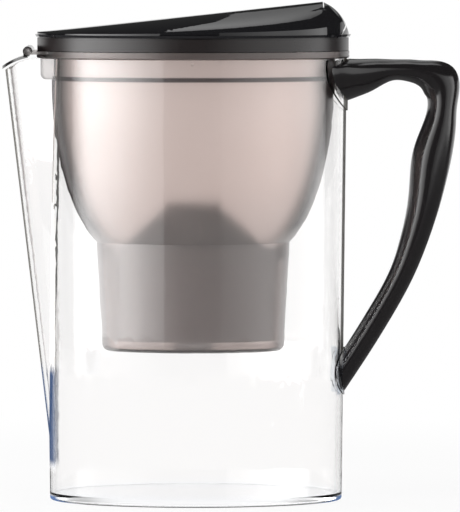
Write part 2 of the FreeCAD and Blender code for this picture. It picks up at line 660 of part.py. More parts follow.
# Lid ring
def lid_oval(name, length, width, bottom, top):
    return oval(name, length, width, bottom, top, SEAM_AT_FRONT)


def make_lid_ring():
    tabs = overlap("SkirtTabs", lid_oval("TabOval", "lid_length + 2 * tab_raise", "lid_width + 2 * tab_raise",
                                         "skirt_under", "skirt_top"),
                   block("TabBlock", "tab_width", "2 * lid_width", "skirt_height",
                         "-tab_width / 2", "-lid_width", "skirt_under"))
    outer = lid_oval("SkirtOuter", "lid_length", "lid_width", "skirt_under", "skirt_top")
    skirt = cut("Skirt", join("SkirtWithTabs", outer, tabs),
                lid_oval("SkirtBore", "lid_length - 2 * skirt_wall", "lid_width - 2 * skirt_wall",
                         "skirt_under", "cover_under - lid_rim_depth"))
    rim = lid_oval("LidRim", "lid_length - 2 * shadow_depth", "lid_width - 2 * shadow_depth",
                   "cover_under - lid_rim_depth", "cover_under")
    spigot = lid_oval("Spigot", "spigot_length", "spigot_width", "flange_top - spigot_depth", "cover_under")
    upper = lid_oval("TrayHollow", "tray_length", "tray_width", "tray_top", "cover_under")
    lower = lid_oval("SpigotHollow", "tray_length", "tray_width", "flange_top - spigot_depth",
                     "tray_top - tray_thickness")
    fill = block("FillOpening", "fill_length", "fill_width", "4 * tray_thickness",
                 "tray_length / 2 - fill_setback - fill_length", "-fill_width / 2",
                 "tray_top - 2 * tray_thickness")
    sweep = rod("FlapSweep", "2 * fill_sweep", "fill_flap_width + 2 * fill_flap_gap", "fill_axis_x",
                "-fill_flap_width / 2 - fill_flap_gap", "fill_axis_level", ALONG_Y)
    ring = cut("LidRingBody", join("LidRingSolids", skirt, rim, spigot), upper, lower, fill, sweep)
    ears = []
    bores = []
    for index, side in enumerate((-1, 1)):
        inner = "ear_span / 2" if side > 0 else "-ear_span / 2 - ear_thickness"
        ears.append(block("Ear%d" % index, "ear_size", "ear_thickness",
                          "fill_axis_level - tray_top + tray_thickness / 2",
                          "fill_axis_x - ear_size / 2 - ear_lean", inner, "tray_top - tray_thickness / 2"))
        ears.append(rod("EarTop%d" % index, "ear_size", "ear_thickness",
                        "fill_axis_x", inner, "fill_axis_level", ALONG_Y))
        bores.append(rod("EarBore%d" % index, "fill_pin + 2 * fill_play", "ear_thickness",
                         "fill_axis_x", inner, "fill_axis_level", ALONG_Y))
    node("lid_ring", cut("LidRing", join("LidRingEars", ring, *ears), *bores), "-funnel_shift")


make_lid_ring()


# Lid cover: crowned top from a smooth net of points, trimmed by the plan oval and the rounded rear
CROWN_STEPS = 8
CROWN_END = math.radians(5)


def crown_height(along):
    front = size("cover_front_rise")
    half = size("cover_length") / 2
    crest = half - size("cover_crest_setback")
    return front + (size("cover_crest") - front) * (along + half) / (crest + half)


def crown(lower):
    outward = size("cover_crown_margin") - size("cover_inset")
    half = size("cover_length") / 2 + outward
    side = size("cover_width") / 2 + outward
    rows = []
    for step in range(-CROWN_STEPS, CROWN_STEPS + 1):
        bearing = step / CROWN_STEPS * (math.pi / 2 - CROWN_END)
        along = half * math.sin(bearing)
        row = []
        for turn in range(-CROWN_STEPS, CROWN_STEPS + 1):
            swing = turn / CROWN_STEPS * math.pi / 2
            across = side * math.cos(bearing) * math.sin(swing)
            height = crown_height(along) * math.cos(swing)
            row.append(Vector(along, across, size("cover_lip_top") + height - lower))
        rows.append(row)
    net = Part.BSplineSurface()
    net.interpolate(rows)
    return net.toShape().extrude(Vector(0, 0, -2 * size("cover_crest")))


def rear_limit(inset):
    half = size("cover_length") / 2
    radius = size("cover_rear_radius")
    end = Vector(half - size("cover_inset"), 0, size("cover_lip_top"))
    crest = Vector(half - size("cover_crest_setback"), 0, size("cover_lip_top") + size("cover_crest"))
    chord = end - crest
    away = Vector(chord.z, 0, -chord.x).normalize()
    middle = (end + crest) * 0.5 + away * math.sqrt(radius ** 2 - chord.Length ** 2 / 4)
    axis = half - size("cover_inset") - size("cover_rear_plan")
    reach = radius - inset
    low = middle.z - 1
    high = middle.z + reach
    side = Vector(middle.x + reach, 0, middle.z)
    bend = middle + Vector(math.sqrt(0.5), 0, math.sqrt(0.5)) * reach
    top = Vector(middle.x, 0, high)
    outline = Part.Wire([
        Part.makeLine(Vector(axis, 0, low), Vector(side.x, 0, low)),
        Part.makeLine(Vector(side.x, 0, low), side),
        Part.Arc(side, bend, top).toShape(),
        Part.makeLine(top, Vector(axis, 0, high)),
        Part.makeLine(Vector(axis, 0, high), Vector(axis, 0, low))])
    return Part.Face(outline).revolve(Vector(axis, 0, 0), Vector(0, 0, 1), 360)


def plan_outline(inset, level):
    curve = Part.Ellipse(Vector(0, 0, level), size("cover_length") / 2 - inset,
                         size("cover_width") / 2 - inset)
    return Part.Wire(curve.toShape())


def plan_oval(inset, bottom, top):
    return Part.Face(plan_outline(inset, bottom)).extrude(Vector(0, 0, top - bottom))


def cover_shell():
    under = size("cover_under")
    lip_top = size("cover_lip_top")
    high = lip_top + 2 * size("cover_crest")
    inset = size("cover_inset")
    wall = size("cover_wall")
    dome = plan_oval(inset, under, high).common(crown(0)).common(rear_limit(0))
    hollow = plan_oval(inset + wall, under, high).common(crown(wall)).common(rear_limit(wall))
    lip = Part.makeLoft([plan_outline(size("cover_lip_lean"), under), plan_outline(0, lip_top)], True, True)
    return lip.fuse(dome).cut(hollow)


def along_y(radius, half_length, x, z):
    return Part.makeCylinder(radius, 2 * half_length, Vector(x, -half_length, z), Vector(0, 1, 0))


def flap_window(grow, radius):
    half = size("fill_flap_width") / 2 + grow
    crest = size("cover_length") / 2 - size("cover_crest_setback")
    front = crest + size("fill_flap_gap") - grow
    x = size("fill_axis_x")
    z = size("fill_axis_level")
    behind = Part.makeBox(2 * radius, 2 * half, 2 * radius, Vector(front, -half, z - radius))
    return along_y(radius, half, x, z).common(behind)


def make_cover_and_flap():
    shell = cover_shell()
    x = size("fill_axis_x")
    z = size("fill_axis_level")
    gap = size("fill_flap_gap")
    radius = size("fill_flap_radius")
    cover = shell.cut(flap_window(gap, radius + size("fill_notch")))
    flap = shell.common(flap_window(0, radius))
    knuckle = size("knuckle_thickness")
    start = size("ear_span") / 2 - size("knuckle_gap") - knuckle
    for low in (start, -start - knuckle):
        hub = Part.makeCylinder(size("ear_size") / 2, knuckle, Vector(x, low, z), Vector(0, 1, 0))
        height = size("knuckle_height")
        arm = Part.makeBox(size("cover_crest_setback"), knuckle, height, Vector(x, low, z - height / 2))
        flap = flap.fuse(hub).fuse(arm.common(rear_limit(size("cover_wall") / 2)))
    flap = flap.cut(along_y(size("fill_pin") / 2 + size("fill_play"), size("ear_span") / 2, x, z))
    node("lid_cover", coded("LidCover", cover), "-funnel_shift")
    node("fill_flap", coded("FillFlap", flap), "-funnel_shift")


make_cover_and_flap()


# Pin of the fill flap: a shank with a small head
def make_fill_pin():
    body = doc.addObject("PartDesign::Body", "FillPin")
    outline = body.newObject("Sketcher::SketchObject", "FillPinOutline")
    plane = [one for one in body.Origin.OriginFeatures if one.Role == "XY_Plane"][0]
    outline.AttachmentSupport = (plane, [""])
    outline.MapMode = "FlatFace"
    shank = size("fill_pin") / 2
    head = size("fill_pin_head") / 2
    end = size("ear_span") / 2 + size("ear_thickness")
    cap = end + size("fill_pin_head_length")
    corners = [(0, -end), (shank, -end), (shank, end), (head, end), (head, cap), (0, cap)]
    for index, corner in enumerate(corners):
        following = corners[(index + 1) % len(corners)]
        outline.addGeometry(Part.LineSegment(Vector(*corner, 0), Vector(*following, 0)))
    for index in range(len(corners)):
        outline.addConstraint(Sketcher.Constraint("Coincident", index, 2, (index + 1) % len(corners), 1))
        outline.addConstraint(Sketcher.Constraint("Vertical" if index % 2 else "Horizontal", index))
    outline.addConstraint(Sketcher.Constraint("PointOnObject", 0, 1, -2))
    spans = (
        ("shank", Sketcher.Constraint("DistanceX", 0, 1, 0, 2, shank), "fill_pin / 2"),
        ("head", Sketcher.Constraint("DistanceX", 4, 2, 4, 1, head), "fill_pin_head / 2"),
        ("length", Sketcher.Constraint("DistanceY", 1, 1, 1, 2, 2 * end), "ear_span + 2 * ear_thickness"),
        ("cap", Sketcher.Constraint("DistanceY", 3, 1, 3, 2, cap - end), "fill_pin_head_length"),
        ("start", Sketcher.Constraint("DistanceY", 0, 1, -1, 1, end), "ear_span / 2 + ear_thickness"))
    for label, constraint, expression in spans:
        outline.renameConstraint(outline.addConstraint(constraint), label)
        outline.setExpression("Constraints." + label, bound_words(expression))
    turned = body.newObject("PartDesign::Revolution", "FillPinTurned")
    turned.Profile = outline
    turned.ReferenceAxis = (outline, ["V_Axis"])
    turned.Angle = 360
    place(body, x="fill_axis_x - funnel_shift", z="fill_axis_level")
    node("fill_flap_pin", body)


make_fill_pin()


# Leaf spring: a bent strip on the tray whose tip lies under the flap
def make_fill_spring():
    thick = size("spring_thickness")
    half = size("spring_width") / 2
    z = size("tray_top")
    tip_x = size("fill_axis_x") + size("ear_size") / 2
    bend_x = tip_x - size("spring_reach")
    tip_z = size("fill_axis_level") - size("ear_size") / 2 - size("spring_gap")
    slope = math.atan2(tip_z - z, tip_x - bend_x)
    lift = Vector(-math.sin(slope), 0, math.cos(slope)) * thick
    corners = [
        Vector(bend_x - size("spring_base"), -half, z),
        Vector(bend_x, -half, z),
        Vector(tip_x, -half, tip_z - thick),
        Vector(tip_x, -half, tip_z - thick) + lift,
        Vector(bend_x - thick * math.tan(slope / 2), -half, z + thick),
        Vector(bend_x - size("spring_base"), -half, z + thick)]
    strip = Part.Face(Part.makePolygon(corners + corners[:1])).extrude(Vector(0, 2 * half, 0))
    node("fill_flap_spring", coded("FillSpring", strip), "-funnel_shift")


make_fill_spring()


# Cartridge
INLET_PAIRS = 6


def make_cartridge():
    stub = rod("Stub", "drain_bore - 2 * stub_bore_gap", "cup_clear - stub_clear + cup_floor / 2", "0", "0",
               "seat_floor_top + stub_clear")
    cup_outside = join(
        "CupOutside", stub,
        tapered("CupWall", ("cup_foot_length", "cup_foot_width", "cup_under"),
                ("cup_length", "cup_width", "cup_top")),
        oval("CupFlange", "cup_flange_length", "cup_flange_width", "seal_top", "cup_top"))
    bore = tapered("CupBore", ("cup_foot_length - 2 * cup_wall", "cup_foot_width - 2 * cup_wall", "cup_bed"),
                   ("cup_length - 2 * cup_wall", "cup_width - 2 * cup_wall", "cup_top"))
    slots = [block("OutletSlot%d" % index, "outlet_slot_length", "outlet_slot",
                   "cup_bed - seat_floor_top + cup_floor", "-outlet_slot_length / 2",
                   "%d * outlet_slot_pitch - outlet_slot / 2" % index, "seat_floor_top")
             for index in (-1, 0, 1)]
    node("cartridge_cup", cut("CartridgeCup", cup_outside, bore, *slots), "-funnel_shift")

    dome = tapered("Dome", ("dome_length", "dome_width", "cap_top"),
                   ("dome_top_length", "dome_top_width", "dome_top"))
    hollow = tapered(
        "DomeHollow", ("dome_length - 2 * cap_wall", "dome_width - 2 * cap_wall", "cup_top"),
        ("dome_top_length - 2 * cap_wall", "dome_top_width - 2 * cap_wall", "dome_top - cap_wall"))
    grip = rounded("GripRounded", block(
        "Grip", "grip_length", "grip_thickness", "grip_height + cap_wall / 2", "-grip_length / 2",
        "-grip_thickness / 2", "dome_top - cap_wall / 2"), "grip_corner", upright)
    inlets = []
    for index in range(INLET_PAIRS):
        inlet = bind(doc.addObject("Part::Box", "Inlet%d" % index), Length="dome_length", Width="inlet_slot",
                     Height="inlet_height")
        turn = 180 / INLET_PAIRS * (index + 0.5)
        inlets.append(place(
            inlet, "-dome_length / 2 * cos(%g deg) + inlet_slot / 2 * sin(%g deg)" % (turn, turn),
            "-dome_length / 2 * sin(%g deg) - inlet_slot / 2 * cos(%g deg)" % (turn, turn),
            "cap_top + inlet_rise", turn=((0, 0, 1), turn)))
    rim = oval("CapRim", "cup_flange_length", "cup_flange_width", "cup_top", "cap_top")
    shell = cut("CapShell", join("CapSolids", rim, dome), hollow, *inlets)
    node("cartridge_cap", join("CartridgeCap", shell, grip), "-funnel_shift")

    seal = oval("SealOuter", "band_length - 2 * seal_play", "band_width - 2 * seal_play",
                "ledge_level", "seal_top")
    seal_bore = oval("SealBore", "cup_length + 2 * seal_play", "cup_width + 2 * seal_play",
                     "ledge_level", "seal_top")
    node("cartridge_seal", cut("CartridgeSeal", seal, seal_bore), "-funnel_shift")

    def packed(label, name, bottom, top):
        def span(foot, head, level):
            return "%s + (%s - %s) * (%s - cup_bed) / (cup_top - cup_bed) - 2 * cup_wall - 2 * media_gap" % (
                foot, head, foot, level)
        sections = [(span("cup_foot_length", "cup_length", "(%s)" % level),
                     span("cup_foot_width", "cup_width", "(%s)" % level), level) for level in (bottom, top)]
        node(label, tapered(name, *sections), "-funnel_shift")

    packed("outlet_fleece", "OutletFleece", "cup_bed", "cup_bed + fleece_thickness")
    packed("filter_media", "FilterMedia", "cup_bed + fleece_thickness",
           "cup_top - cap_headroom - fleece_thickness")
    packed("inlet_fleece", "InletFleece", "cup_top - cap_headroom - fleece_thickness",
           "cup_top - cap_headroom")


make_cartridge()

# Every object has to be sound before anything is written
doc.recompute()
for piece in doc.Objects:
    if "Invalid" in piece.State or "Error" in piece.State:
        raise RuntimeError("%s is not computed: %s" % (piece.Name, piece.State))
os.makedirs("parts", exist_ok=True)
for piece in nodes:
    if piece.Shape.isNull() or not piece.Shape.isValid() or piece.Shape.Volume < 1:
        raise RuntimeError("%s has no sound solid" % piece.Label)
for piece in nodes:
    piece.Shape.exportStep("parts/%s.step" % piece.Label)
    extent = piece.Shape.BoundBox
    print("%-18s solids %d volume %9.1f mm3 x %.1f..%.1f y %.1f..%.1f z %.1f..%.1f" % (
        piece.Label, len(piece.Shape.Solids), piece.Shape.Volume, extent.XMin, extent.XMax,
        extent.YMin, extent.YMax, extent.ZMin, extent.ZMax))
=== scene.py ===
import math

import bmesh
import bpy
from mathutils import Matrix, Vector


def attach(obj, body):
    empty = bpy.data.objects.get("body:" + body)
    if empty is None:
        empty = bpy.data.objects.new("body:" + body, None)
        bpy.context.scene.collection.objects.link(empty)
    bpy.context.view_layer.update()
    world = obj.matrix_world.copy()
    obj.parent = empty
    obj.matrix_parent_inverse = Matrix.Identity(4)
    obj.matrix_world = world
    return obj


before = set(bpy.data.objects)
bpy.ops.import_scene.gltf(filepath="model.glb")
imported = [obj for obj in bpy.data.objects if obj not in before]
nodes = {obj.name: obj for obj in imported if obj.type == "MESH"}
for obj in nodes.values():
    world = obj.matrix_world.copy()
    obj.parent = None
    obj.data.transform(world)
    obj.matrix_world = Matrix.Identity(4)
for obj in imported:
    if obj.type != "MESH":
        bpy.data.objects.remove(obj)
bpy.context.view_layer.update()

scene = bpy.context.scene
scene.view_settings.view_transform = "Standard"
print("frame loaded with", len(nodes), "nodes")

# helpers for node trees, which are laid out on a grid of columns and rows
nodeGrid = (190, -170)


def place(tree, kind, spot, **settings):
    node = tree.nodes.new(kind)
    node.location = (spot[0] * nodeGrid[0], spot[1] * nodeGrid[1])
    for name, value in settings.items():
        setattr(node, name, value)
    return node


def setInputs(node, values):
    for name, value in values.items():
        node.inputs[name].default_value = value
    return node


def feed(tree, socket, value):
    # an input takes a link from another socket, or a plain value
    if isinstance(value, bpy.types.NodeSocket):
        tree.links.new(value, socket)
    else:
        socket.default_value = value


def newMaterial(name):
    material = bpy.data.materials.new(name)
    material.use_nodes = True
    material.node_tree.nodes.clear()
    return material, material.node_tree


def newGroup(name, inputs, outputs):
    group = bpy.data.node_groups.new(name, "ShaderNodeTree")
    for label, value in inputs.items():
        socket = group.interface.new_socket(label, in_out="INPUT", socket_type="NodeSocketFloat")
        socket.default_value = value
    for label in outputs:
        group.interface.new_socket(label, in_out="OUTPUT", socket_type="NodeSocketFloat")
    return group, place(group, "NodeGroupInput", (-4, 0)), place(group, "NodeGroupOutput", (5, 0))


def useGroup(tree, group, spot, values):
    return setInputs(place(tree, "ShaderNodeGroup", spot, node_tree=group), values)


def mixColours(tree, spot, factor, first, second):
    node = place(tree, "ShaderNodeMix", spot, data_type="RGBA")
    for index, value in ((0, factor), (6, first), (7, second)):
        feed(tree, node.inputs[index], value)
    return node.outputs[2]


def mixLevels(tree, spot, factor, first, second):
    node = place(tree, "ShaderNodeMix", spot, data_type="FLOAT")
    for index, value in ((0, factor), (2, first), (3, second)):
        feed(tree, node.inputs[index], value)
    return node.outputs[0]


def mixShaders(tree, spot, factor, first, second):
    node = place(tree, "ShaderNodeMixShader", spot)
    for socket, value in zip(node.inputs, (factor, first.outputs[0], second.outputs[0])):
        feed(tree, socket, value)
    return node


def spread(tree, spot, value, low, high, start=0.0, end=1.0):
    # goes smoothly from start to end as the value goes from low to high
    node = place(tree, "ShaderNodeMapRange", spot, clamp=True, interpolation_type="SMOOTHSTEP")
    tree.links.new(value, node.inputs["Value"])
    setInputs(node, {"From Min": low, "From Max": high, "To Min": start, "To Max": end})
    return node.outputs["Result"]


def combine(tree, spot, operation, first, second):
    node = place(tree, "ShaderNodeMath", spot, operation=operation, use_clamp=True)
    feed(tree, node.inputs[0], first)
    feed(tree, node.inputs[1], second)
    return node.outputs[0]


def scaleAndAdd(tree, spot, value, factor, extra, **settings):
    node = place(tree, "ShaderNodeMath", spot, operation="MULTIPLY_ADD", **settings)
    for socket, part in zip(node.inputs, (value, factor, extra)):
        feed(tree, socket, part)
    return node.outputs[0]


def bandAround(tree, spot, value, band):
    # 1 inside the band, falling to 0 over its soft edge
    reach = place(tree, "ShaderNodeMath", (spot[0] + 1, spot[1]), operation="ABSOLUTE")
    tree.links.new(scaleAndAdd(tree, spot, value, 1.0, -band["middle"]), reach.inputs[0])
    return spread(tree, (spot[0] + 2, spot[1]), reach.outputs[0], band["half"],
                  band["half"] + band["soft"], 1.0, 0.0)


def readAxes(tree, spot, kind="Object"):
    coords = place(tree, "ShaderNodeTexCoord", spot)
    axes = place(tree, "ShaderNodeSeparateXYZ", (spot[0] + 1, spot[1]))
    tree.links.new(coords.outputs[kind], axes.inputs[0])
    return axes.outputs


def seenAlong(tree):
    # 0 on a surface that faces the ray, and 1 on one that is seen along itself
    return setInputs(place(tree, "ShaderNodeLayerWeight", (-4, 2)), {"Blend": 0.5}).outputs["Facing"]


def bumpFrom(tree, height, strength, depth):
    bump = setInputs(place(tree, "ShaderNodeBump", (2, 4)), {"Strength": strength, "Distance": depth})
    tree.links.new(height, bump.inputs["Height"])
    return bump.outputs["Normal"]


def dress(tree, shader, links):
    for name, socket in links.items():
        tree.links.new(socket, shader.inputs[name])


def finishSolid(tree, shader):
    tree.links.new(shader.outputs[0], place(tree, "ShaderNodeOutputMaterial", (8, 0)).inputs["Surface"])


def finishGlass(tree, shader, lampTint):
    # lamps shine through the clear walls, so what stands inside is lit
    path = place(tree, "ShaderNodeLightPath", (3, -2))
    passing = setInputs(place(tree, "ShaderNodeBsdfTransparent", (5, 2)), {"Color": lampTint})
    finishSolid(tree, mixShaders(tree, (6, 0), path.outputs["Is Shadow Ray"], shader, passing))


def shadeOutline(tree, shader, share, colour):
    # painted shade: where plastic is seen along its wall a lit matt colour is mixed in, standing in for the
    # dark surroundings the wall bends into view; the colour given can also be a painted pale line
    shade = place(tree, "ShaderNodeBsdfDiffuse", (3, 6))
    feed(tree, shade.inputs["Color"], colour)
    return mixShaders(tree, (5, 5), share, shader, shade)


# mould skin: fine grain and slow waviness that an injection mould leaves on plastic
skinNoise = {"Grain": {"Detail": 3.0, "Roughness": 0.6}, "Wave": {"Detail": 1.0, "Roughness": 0.4}}


def makeMouldSkin():
    group, start, end = newGroup(
        "mouldSkin", {"Grain": 900.0, "Wave": 40.0, "WaveShare": 0.5, "Rough": 0.1, "Spread": 0.05},
        ("Height", "Roughness"))
    coords = place(group, "ShaderNodeTexCoord", (-4, 2))
    fields = {}
    for row, (name, detail) in enumerate(skinNoise.items()):
        noise = setInputs(place(group, "ShaderNodeTexNoise", (-2, 1 + 2 * row)), detail)
        group.links.new(coords.outputs["Object"], noise.inputs["Vector"])
        group.links.new(start.outputs[name], noise.inputs["Scale"])
        fields[name] = noise.outputs["Fac"]
    height = mixLevels(group, (0, 1), start.outputs["WaveShare"], fields["Grain"], fields["Wave"])
    group.links.new(height, end.inputs["Height"])
    centred = scaleAndAdd(group, (0, 3), fields["Wave"], 1.0, -0.5)
    rough = scaleAndAdd(group, (2, 3), centred, start.outputs["Spread"], start.outputs["Rough"],
                        use_clamp=True)
    group.links.new(rough, end.inputs["Roughness"])
    return group


# wipe marks: hair-fine scratches that cloths and washing leave on polished plastic
wipeLook = {"noise": {"Detail": 6.0, "Roughness": 0.75, "Distortion": 0.6}, "threshold": (0.6, 0.72)}


def makeWipeMarks():
    group, start, end = newGroup("wipeMarks", {"Scale": 60.0, "Stretch": 14.0, "Amount": 0.3}, ("Mask",))
    coords = place(group, "ShaderNodeTexCoord", (-4, 2))
    stretch = setInputs(place(group, "ShaderNodeCombineXYZ", (-3, 1)), {"X": 1.0, "Y": 1.0})
    group.links.new(start.outputs["Stretch"], stretch.inputs["Z"])
    squeeze = place(group, "ShaderNodeVectorMath", (-2, 2), operation="DIVIDE")
    group.links.new(coords.outputs["Object"], squeeze.inputs[0])
    group.links.new(stretch.outputs[0], squeeze.inputs[1])
    lines = setInputs(place(group, "ShaderNodeTexNoise", (-1, 2)), wipeLook["noise"])
    group.links.new(squeeze.outputs[0], lines.inputs["Vector"])
    group.links.new(start.outputs["Scale"], lines.inputs["Scale"])
    thin = spread(group, (1, 2), lines.outputs["Fac"], *wipeLook["threshold"])
    group.links.new(combine(group, (3, 2), "MULTIPLY", thin, start.outputs["Amount"]), end.inputs["Mask"])
    return group


mouldSkin = makeMouldSkin()
wipeMarks = makeWipeMarks()

# clear plastic of the jug: each outline is a painted line, mostly painted shade, that covers one side of a
# leaning line and a band of heights
clearLook = {
    "body": (0.992, 0.987, 0.985, 1), "foot": (0.985, 0.99, 1.0, 1), "footRange": (0.0075, 0.0035),
    # the grazing-edge colours here are painted shade, bluish and fainter near the foot
    "rim": (0.8, 0.79, 0.79, 1), "rimRange": (0.7, 0.84),
    "footEdgeShade": (0.95, 0.97, 1.0, 1), "footEdgeShadeRange": (0.013, 0.0085),
    "pad": (0.6, 0.64, 0.7, 1), "padSide": (0.0735, 0.0745),
    "padBand": {"middle": 0.0677, "half": 0.0115, "soft": 0.001},
    "skin": {"Grain": 500.0, "Wave": 24.0, "WaveShare": 0.9, "Rough": 0.012, "Spread": 0.02},
    "shader": {"IOR": 1.4, "Transmission Weight": 1.0}, "bump": (0.01, 0.0002),
    "lampTint": (0.93, 0.94, 0.95, 1), "outlineRange": (0.5, 0.75), "outlineMost": 0.9,
    # painted shade: dark lines beside the spout and the handle, dark blue lines low on the spout side and at
    # the foot's ends, and a painted pale line along the spout
    "outlines": {
        "paleSpoutLine": {"lean": 0.0112, "side": (-0.0715, -0.0725), "middle": 0.155, "half": 0.08, "soft": 0.01,
                 "colour": (0.8, 0.78, 0.75, 1)},
        "spout": {"lean": 0.1168, "side": (-0.0716, -0.0722), "middle": 0.15, "half": 0.085, "soft": 0.01,
                  "colour": (0.07, 0.066, 0.058, 1)},
        "handle": {"lean": -0.0112, "side": (0.0745, 0.0752), "middle": 0.16, "half": 0.08, "soft": 0.01,
                   "colour": (0.07, 0.066, 0.058, 1)},
        "blue": {"lean": 0.0, "side": (-0.0725, -0.0737), "middle": 0.044, "half": 0.022, "soft": 0.008,
                 "colour": (0.03, 0.055, 0.12, 1)},
        "footLeft": {"lean": 0.0, "side": (-0.055, -0.07), "middle": 0.0, "half": 0.002, "soft": 0.0015,
                     "colour": (0.09, 0.15, 0.3, 1)},
        "footRight": {"lean": 0.0, "side": (0.055, 0.07), "middle": 0.0, "half": 0.002, "soft": 0.0015,
                      "colour": (0.13, 0.21, 0.4, 1)}}}


def makeClearPlastic():
    look = clearLook
    material, tree = newMaterial("clearPlastic")
    axes = readAxes(tree, (-8, 0))
    along, up = axes["X"], axes["Z"]
    low = spread(tree, (-4, 0), up, *look["footRange"])
    body = mixColours(tree, (-2, 0), low, look["body"], look["foot"])
    padShare = combine(tree, (-2, -2), "MULTIPLY", bandAround(tree, (-6, -2), up, look["padBand"]),
                       spread(tree, (-4, -3), along, *look["padSide"]))
    body = mixColours(tree, (-1, -1), padShare, body, look["pad"])
    # painted shade: the wall greys where it is seen at a grazing angle, standing in for the dark surroundings
    # it bends into view
    footShare = spread(tree, (-3, 10), up, *look["footEdgeShadeRange"])
    rim = mixColours(tree, (-1, 6), footShare, look["rim"], look["footEdgeShade"])
    grazing = seenAlong(tree)
    edge = spread(tree, (-3, 2), grazing, *look["rimRange"])
    skin = useGroup(tree, mouldSkin, (-2, 4), look["skin"])
    shader = setInputs(place(tree, "ShaderNodeBsdfPrincipled", (3, 0)), look["shader"])
    dress(tree, shader, {
        "Base Color": mixColours(tree, (0, 0), edge, body, rim), "Roughness": skin.outputs["Roughness"],
        "Normal": bumpFrom(tree, skin.outputs["Height"], *look["bump"])})
    # gather the painted outline lines zone by zone
    outline, paintedEdgeZone = look["body"], 0.0
    for index, zone in enumerate(look["outlines"].values()):
        row = 12 + 3 * index
        slant = scaleAndAdd(tree, (-9, row), up, zone["lean"], along)
        share = combine(tree, (-4, row), "MULTIPLY", spread(tree, (-8, row), slant, *zone["side"]),
                        bandAround(tree, (-8, row + 1), up, zone))
        outline = mixColours(tree, (-3, row), share, outline, zone["colour"])
        paintedEdgeZone = combine(tree, (-3, row + 1), "MAXIMUM", paintedEdgeZone, share)
    shaded = spread(tree, (1, 6), grazing, *look["outlineRange"], 0.0, look["outlineMost"])
    shaded = combine(tree, (2, 6), "MULTIPLY", paintedEdgeZone, shaded)
    finishGlass(tree, shadeOutline(tree, shader, shaded, outline), look["lampTint"])
    return material


# smoky plastic of the funnel: frosted behind a thin polished coat
smokyLook = {
    "thin": (0.79, 0.712, 0.688, 1), "dense": (0.745, 0.662, 0.632, 1), "rim": (0.02, 0.016, 0.016, 1),
    # the grazing-edge colours here are painted shade, lighter on the seat than on the hopper
    "rimRange": (0.3, 0.6), "seatEdgeShade": (0.35, 0.33, 0.33, 1), "seatTop": (0.136, 0.146),
    "skin": {"Wave": 30.0, "WaveShare": 1.0, "Rough": 0.3, "Spread": 0.05}, "bump": (0.012, 0.0002),
    "shader": {"IOR": 1.42, "Transmission Weight": 0.97, "Coat Weight": 0.2, "Coat Roughness": 0.06,
               "Coat IOR": 1.5},
    # the outline colour is painted shade for the hopper's edges
    "outline": (0.03, 0.024, 0.024, 1), "outlineRange": (0.72, 0.95), "outlineLean": -2.0,
    "lug": (0.6, 0.575, 0.565, 1), "lugSide": (-0.0742, -0.0748), "lugFoot": (0.2195, 0.221),
    "lampTint": (0.72, 0.65, 0.61, 1),
    "bands": {
        # the collar step and seat foot bands are painted shade; the flange band is a slightly darker tone
        "collarStepShade": {"middle": 0.2217, "half": 0.0008, "soft": 0.0008, "colour": (0.06, 0.045, 0.044, 1)},
        "flange": {"middle": 0.234, "half": 0.0019, "soft": 0.0004, "colour": (0.74, 0.65, 0.63, 1)},
        "seatFootShade": {"middle": 0.079, "half": 0.001, "soft": 0.0006, "colour": (0.08, 0.062, 0.06, 1)}}}


def makeSmokyPlastic():
    look = smokyLook
    material, tree = newMaterial("smokyPlastic")
    axes = readAxes(tree, (-7, 0))
    along, up = axes["X"], axes["Z"]
    skin = useGroup(tree, mouldSkin, (-2, 3), look["skin"])
    colour = mixColours(tree, (-1, 0), skin.outputs["Height"], look["thin"], look["dense"])
    for index, band in enumerate(look["bands"].values()):
        # painted shade: dark lines at the collar's step and at the seat's foot; the flange ring gets a
        # slightly darker tone
        row = -2 - 2 * index
        colour = mixColours(tree, (-1, row), bandAround(tree, (-5, row), up, band), colour, band["colour"])
    lugShare = combine(tree, (-2, -9), "MULTIPLY", spread(tree, (-3, -9), along, *look["lugSide"]),
                       spread(tree, (-3, -10), up, *look["lugFoot"]))
    colour = mixColours(tree, (-1, -9), lugShare, colour, look["lug"])
    # painted shade: the wall darkens where it is seen at a grazing angle
    grazing = seenAlong(tree)
    edge = spread(tree, (-3, 2), grazing, *look["rimRange"])
    upper = spread(tree, (-3, 4), up, *look["seatTop"])
    rim = mixColours(tree, (-1, 4), upper, look["seatEdgeShade"], look["rim"])
    shader = setInputs(place(tree, "ShaderNodeBsdfPrincipled", (3, 0)), look["shader"])
    dress(tree, shader, {
        "Base Color": mixColours(tree, (0, 0), edge, colour, rim), "Roughness": skin.outputs["Roughness"],
        "Normal": bumpFrom(tree, skin.outputs["Height"], *look["bump"])})
    # painted shade: the hopper's dark outline, widest at the spout's end
    leaning = scaleAndAdd(tree, (0, 6), along, look["outlineLean"], grazing)
    shaded = combine(tree, (2, 6), "MULTIPLY", upper, spread(tree, (1, 6), leaning, *look["outlineRange"]))
    finishGlass(tree, shadeOutline(tree, shader, shaded, look["outline"]), look["lampTint"])
    return material


